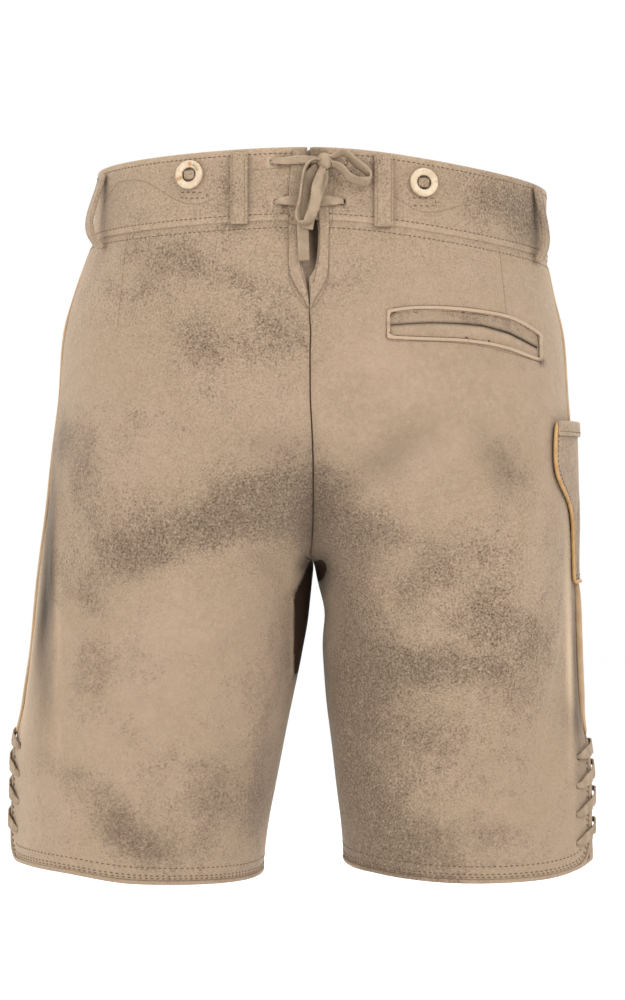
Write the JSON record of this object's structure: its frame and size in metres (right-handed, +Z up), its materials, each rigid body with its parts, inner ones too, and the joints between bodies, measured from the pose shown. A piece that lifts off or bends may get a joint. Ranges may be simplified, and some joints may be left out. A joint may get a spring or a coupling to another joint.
{
  "type": "short lederhosen",
  "caption": "Short suede leather breeches, hollow as worn, with a laced back opening, horn brace buttons, belt loops, a drop front, a knife pocket and laced leg slits.",
  "frame": {"origin": "middle of the waist, inside the waistband, where the wearer's waist holds it", "axes": "+Z up, the wearer's front faces -Y, the wearer's left is +X"},
  "size_m": [0.432, 0.2749, 0.5439],
  "materials": {
    "suede": "nubuck suede, napped and stained",
    "trim": "nubuck suede, folded edge",
    "lace": "flat cut suede lace",
    "piping": "smooth dyed leather",
    "horn": "polished horn"
  },
  "bodies": {
    "root": {"back_lace": "lace", "back_left": "suede", "back_right": "suede", "belt_loop_back_left": "suede", "belt_loop_back_right": "suede", "belt_loop_front_left": "suede", "belt_loop_front_right": "suede", "belt_loop_side_left": "suede", "belt_loop_side_right": "suede", "bow_knot": "lace", "bow_loop_left": "lace", "bow_loop_right": "lace", "brace_button_back_left": "horn", "brace_button_back_right": "horn", "brace_button_front_left": "horn", "brace_button_front_right": "horn", "brace_tongue_back_left": "trim", "brace_tongue_back_right": "trim", "brace_tongue_front_left": "trim", "brace_tongue_front_right": "trim", "flap_button_left": "horn", "flap_button_right": "horn", "flap_tongue_left": "trim", "flap_tongue_right": "trim", "front_flap": "suede", "front_left": "suede", "front_right": "suede", "hem_back_left": "trim", "hem_back_right": "trim", "hem_front_left": "trim", "hem_front_right": "trim", "knife_pocket": "suede", "knife_pocket_hem": "suede", "knife_pocket_piping": "piping", "lace_tail_left": "lace", "lace_tail_right": "lace", "pocket_facing": "trim", "pocket_lip": "suede", "pocket_welt": "trim", "side_lace_left": "lace", "side_lace_right": "lace", "side_piping_left": "trim", "side_piping_right": "trim", "vent_gusset": "trim", "vent_strip_left": "trim", "vent_strip_right": "trim", "waistband_back_left": "suede", "waistband_back_right": "suede", "waistband_front_left": "suede", "waistband_front_right": "suede"}
  },
  "joints": []
}
